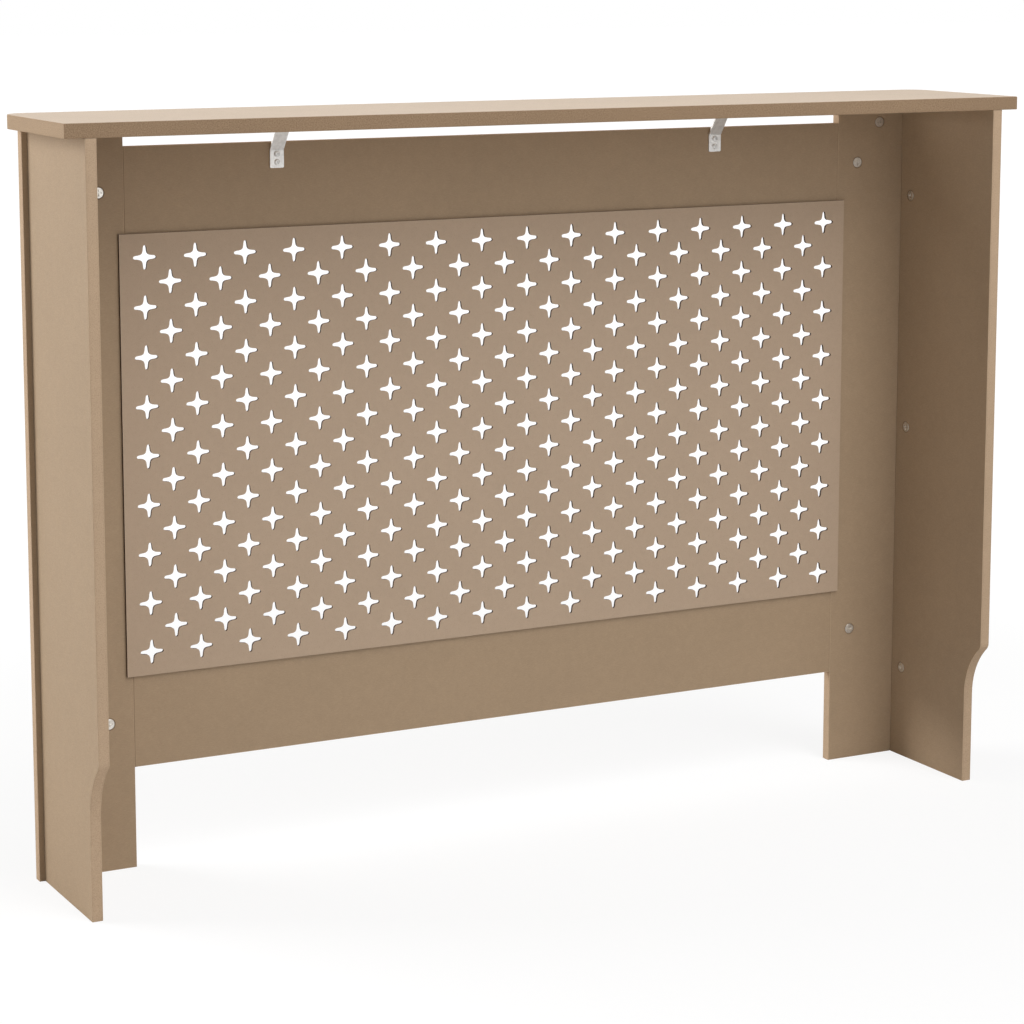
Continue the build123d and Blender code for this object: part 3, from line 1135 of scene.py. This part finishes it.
@dataclass
class PanScrew:
    """A pan-headed screw with a cross recess, standing on its shoulder at the origin."""

    head_radius: float = 3.2 * MILLIMETRE
    head_height: float = 1.9 * MILLIMETRE
    flat_radius: float = 2.1 * MILLIMETRE
    crest_radius: float = 1.5 * MILLIMETRE
    root_radius: float = 1.1 * MILLIMETRE
    length: float = 12.0 * MILLIMETRE
    tip: float = 2.0 * MILLIMETRE
    thread_pitch: float = 1.2 * MILLIMETRE
    recess_half_length: float = 1.75 * MILLIMETRE
    recess_half_width: float = 0.42 * MILLIMETRE
    recess_depth: float = 1.0 * MILLIMETRE
    recess_corner: float = 0.12 * MILLIMETRE
    recess_taper: float = 0.55
    thread_sharpness: float = 3.2
    around: int = 32
    dome_steps: int = 6
    rings_per_turn: int = 8

    def mesh(self) -> bpy.types.Mesh:
        """Makes one screw.

        Returns:
            Its mesh, head up.
        """
        shape = bmesh.new()
        loops = self._head(shape) + self._shank(shape)
        for upper, lower in zip(loops, loops[1:]):
            bridge(shape, lower, upper)
        self._recess(shape, loops[0])
        point = shape.verts.new((0, 0, -self.length))
        last = loops[-1]
        for here, vert in enumerate(last):
            shape.faces.new((vert, point, last[(here + 1) % len(last)]))
        return finished_mesh("pan_screw", shape)

    def _head(self, shape: bmesh.types.BMesh) -> List[Loop]:
        """The domed edge of the head.

        Args:
            shape: The screw.

        Returns:
            Its loops, from the flat top down to the shoulder.
        """
        round_off = self.head_radius - self.flat_radius
        loops = []
        for step in range(self.dome_steps + 1):
            turn = math.radians(90 * step / self.dome_steps)
            radius = self.flat_radius + round_off * math.sin(turn)
            height = self.head_height - round_off * (1 - math.cos(turn))
            loops.append(ring(shape, circle(radius, self.around), height))
        loops.append(ring(shape, circle(self.head_radius, self.around), 0))
        return loops

    def _shank(self, shape: bmesh.types.BMesh) -> List[Loop]:
        """The threaded shank, as rings whose radius follows the thread's turn.

        Args:
            shape: The screw.

        Returns:
            Its loops, from the shoulder down to the tip.
        """
        threaded = self.length - self.tip
        count = int(threaded / self.thread_pitch * self.rings_per_turn)
        loops = [ring(shape, circle(self.root_radius, self.around), 0)]
        for step in range(1, count + 1):
            depth = threaded * step / count
            fade = min(1.0, min(step, count - step) / self.rings_per_turn)
            points = []
            for place in range(self.around):
                turn = place / self.around
                phase = (depth / self.thread_pitch - turn) % 1.0
                ridge = max(0.0, 1 - abs(phase - 0.5) * self.thread_sharpness) * fade
                radius = self.root_radius + (self.crest_radius - self.root_radius) * ridge
                angle = 2 * math.pi * turn
                points.append((radius * math.cos(angle), radius * math.sin(angle)))
            loops.append(ring(shape, points, -depth))
        return loops

    def _recess(self, shape: bmesh.types.BMesh, rim: Loop) -> None:
        """The cross in the head's flat top, narrowing as it goes down.

        Args:
            shape: The screw.
            rim: The loop around the flat top.
        """
        outline = cross_loop(self.recess_half_length, self.recess_half_width, self.recess_corner)
        mouth = ring(shape, outline, self.head_height)
        narrow = [(x * self.recess_taper, y * self.recess_taper) for x, y in outline]
        floor = ring(shape, narrow, self.head_height - self.recess_depth)
        bridge(shape, floor, mouth)
        closed(shape, [rim, mouth])
        closed(shape, [floor])


@dataclass
class BracketSet:
    """The two strip brackets under the top board, and their screws."""

    bracket_nodes: Tuple[str, str] = ("bracket_left", "bracket_right")
    rail_screw_node: str = "bracket_rail_screws"
    top_screw_node: str = "bracket_top_screws"
    screw_slot: str = "screw_steel"
    screws_in_a_leg: int = 2
    screw_spacing: float = 9.0 * MILLIMETRE
    screw: PanScrew = field(default_factory=PanScrew)
    most_turn: float = 90.0
    seed: int = 11

    def make(self) -> None:
        """Dresses the strips and makes the screws."""
        plate = BRIGHT_ZINC_PLATE.material("bright_zinc_plate")
        for node in self.bracket_nodes:
            dress(node, plate)
        finish = SCREW_PLATE.material("screw_plate")
        radius = self.screw.head_radius
        low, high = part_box(self.rail_screw_node)
        across = high.x - low.x - 2 * radius
        first = (low.x + radius, high.y - self.screw.head_height, low.z + radius)
        step = (0.0, 0.0, self.screw_spacing)
        self._row("rail_screws", self.rail_screw_node, first, step, (-90, 0, 0), across, finish)
        low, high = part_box(self.top_screw_node)
        first = (low.x + radius, low.y + radius, low.z + self.screw.head_height)
        step = (0.0, self.screw_spacing, 0.0)
        self._row("top_screws", self.top_screw_node, first, step, (180, 0, 0), across, finish)

    def _row(
        self,
        name: str,
        node: str,
        first: Triple,
        step: Triple,
        facing: Triple,
        across: float,
        material: bpy.types.Material,
    ) -> None:
        """Makes the screws of one leg of both brackets.

        Args:
            name: The piece's name.
            node: The CAD node that the screws stand for.
            first: The first screw's shoulder on the left bracket.
            step: From one screw to the next.
            facing: The turn from head up to the leg's own outward side, in degrees.
            across: From one bracket's screws to the other's.
            material: The screws' finish.
        """
        sizes = {
            "First Screw": first,
            "Step": step,
            "Count": self.screws_in_a_leg,
            "Facing": in_radians(facing),
            "Across": (across, 0.0, 0.0),
            "Most Turn": in_radians((0, 0, self.most_turn)),
            "Seed": self.seed,
            "Finish": material,
        }
        tree = PartTree(f"{name}_tree", sizes)
        line = tree.out(
            "GeometryNodeMeshLine",
            {"mode": "OFFSET"},
            {
                "Count": tree["Count"],
                "Start Location": tree["First Screw"],
                "Offset": tree["Step"],
            },
        )
        move = {"Geometry": line, "Translation": tree["Across"]}
        other = tree.out("GeometryNodeTransform", inputs=move)
        placed = tree.out(
            "GeometryNodeInstanceOnPoints",
            inputs={
                "Points": tree.joined(line, other),
                "Instance": tree["Geometry"],
                "Rotation": tree["Facing"],
            },
        )
        turn = tree.out(
            "FunctionNodeRandomValue",
            {"data_type": "FLOAT_VECTOR"},
            {0: (0.0, 0.0, 0.0), 1: tree["Most Turn"], "Seed": tree["Seed"]},
        )
        turned = tree.out(
            "GeometryNodeRotateInstances",
            inputs={"Instances": placed, "Rotation": turn, "Local Space": True},
        )
        solid = tree.out("GeometryNodeRealizeInstances", inputs={0: turned})
        piece = new_object(name, self.screw.mesh())
        tree.run(piece, tree.coated(solid, "Finish"))
        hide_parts(node)
        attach(piece, CARCASS)
        log.info("made %s with %d faces", name, len(piece.data.polygons))


# ---- the studio


@dataclass
class SoftLight:
    """A square soft light that looks at the cabinet's middle."""

    name: str
    place: Triple
    size: float
    power: float

    def make(self, target: Vector) -> None:
        """Hangs the light.

        Args:
            target: What it looks at.
        """
        lamp = bpy.data.lights.new(self.name, "AREA")
        lamp.shape = "SQUARE"
        lamp.size = self.size
        lamp.energy = self.power
        holder = new_object(self.name, lamp)
        holder.location = self.place
        holder.rotation_euler = (target - Vector(self.place)).to_track_quat("-Z", "Y").to_euler()


@dataclass
class Studio:
    """The pale floor, the soft lights and the camera."""

    floor_half: float = 30.0
    floor_colour: Colour = (0.86, 0.86, 0.86)
    floor_white: float = 0.78
    floor_glow: float = 1.06
    floor_fade: Span = (0.9, 1.8)
    world_light: float = 0.20
    camera_place: Triple = (1.4809, 2.7727, 0.9840)
    camera_azimuth: float = 152.40
    camera_elevation: float = 8.46
    focal_length: float = 100.7
    sensor_width: float = 36.0
    shift_up: float = -0.13
    sight: float = 100.0
    light_target: Triple = (0.0, 0.0, 0.45)
    lights: List[SoftLight] = field(
        default_factory=lambda: [
            SoftLight("front_right", place=(3.2, -2.4, 2.0), size=2.6, power=157.0),
            SoftLight("high_rear", place=(-0.7, 1.9, 3.3), size=2.2, power=66.0),
            SoftLight("far_rear", place=(-1.2, 5.0, 2.6), size=3.0, power=70.0),
        ]
    )

    def make(self) -> None:
        """Sets up everything that isn't the cabinet."""
        self._floor()
        self._world()
        for light in self.lights:
            light.make(Vector(self.light_target))
        self._camera()
        bpy.context.scene.view_settings.view_transform = "Standard"
        log.info("set up the studio")

    @staticmethod
    def _seen(made: Graph, *rays: Ray) -> Sock:
        """1 for rays of these kinds and 0 for the light on the object.

        Args:
            made: The tree it is for.
            *rays: The kinds of ray.

        Returns:
            The share.
        """
        path = made.node("ShaderNodeLightPath")
        found: Value = 0.0
        for ray in rays:
            found = Sock(made, path.outputs[ray.value]).larger(found)
        return found

    def _floor(self) -> None:
        """A wide pale floor that shows white and keeps a soft shadow."""
        half = self.floor_half
        mesh = bpy.data.meshes.new("floor")
        corners = [(-half, -half, 0), (half, -half, 0), (half, half, 0), (-half, half, 0)]
        mesh.from_pydata(corners, [], [(0, 1, 2, 3)])
        floor = new_object("floor", mesh)
        made = Surface("floor_white")
        matt = made.node("ShaderNodeBsdfDiffuse", inputs={"Color": (*self.floor_colour, 1.0)})
        white = made.node("ShaderNodeEmission", inputs={"Strength": self.floor_glow})
        flat = made.out("ShaderNodeVectorMath", {"operation": "LENGTH"}, {0: made.place}, "Value")
        whiteness = self.floor_white + flat.rise(self.floor_fade) * (1 - self.floor_white)
        share = self._seen(made, Ray.CAMERA, Ray.TRANSMISSION) * whiteness
        looks = {0: share, 1: matt.outputs[0], 2: white.outputs[0]}
        both = made.node("ShaderNodeMixShader", inputs=looks)
        made.node("ShaderNodeOutputMaterial", inputs={"Surface": both.outputs[0]})
        mesh.materials.append(made.material)

    def _world(self) -> None:
        """An even world light, which the camera sees as white."""
        world = bpy.data.worlds.new("studio")
        world.use_nodes = True
        bpy.context.scene.world = world
        made = Graph(world.node_tree)
        made.tree.nodes.clear()
        seen = self._seen(made, Ray.CAMERA, Ray.GLOSSY, Ray.TRANSMISSION)
        strength = self.world_light + seen * (1.0 - self.world_light)
        light = {"Color": (1.0, 1.0, 1.0, 1.0), "Strength": strength}
        sky = made.node("ShaderNodeBackground", inputs=light)
        made.node("ShaderNodeOutputWorld", inputs={"Surface": sky.outputs[0]})

    def _camera(self) -> None:
        """The camera at the photograph's angle."""
        lens = bpy.data.cameras.new("camera")
        lens.lens = self.focal_length
        lens.sensor_width = self.sensor_width
        lens.shift_y = self.shift_up
        lens.clip_end = self.sight
        camera = new_object("camera", lens)
        camera.location = self.camera_place
        camera.rotation_euler = in_radians((90 - self.camera_elevation, 0, self.camera_azimuth))
        bpy.context.scene.camera = camera


def main() -> None:
    """Builds and dresses the cabinet, piece by piece."""
    logging.basicConfig(level=logging.INFO, format="%(name)s: %(message)s")
    Carcass().dress()
    StarGrille().make()
    Joinery().dress()
    BracketSet().make()
    Studio().make()


if __name__ == "__main__":
    main()
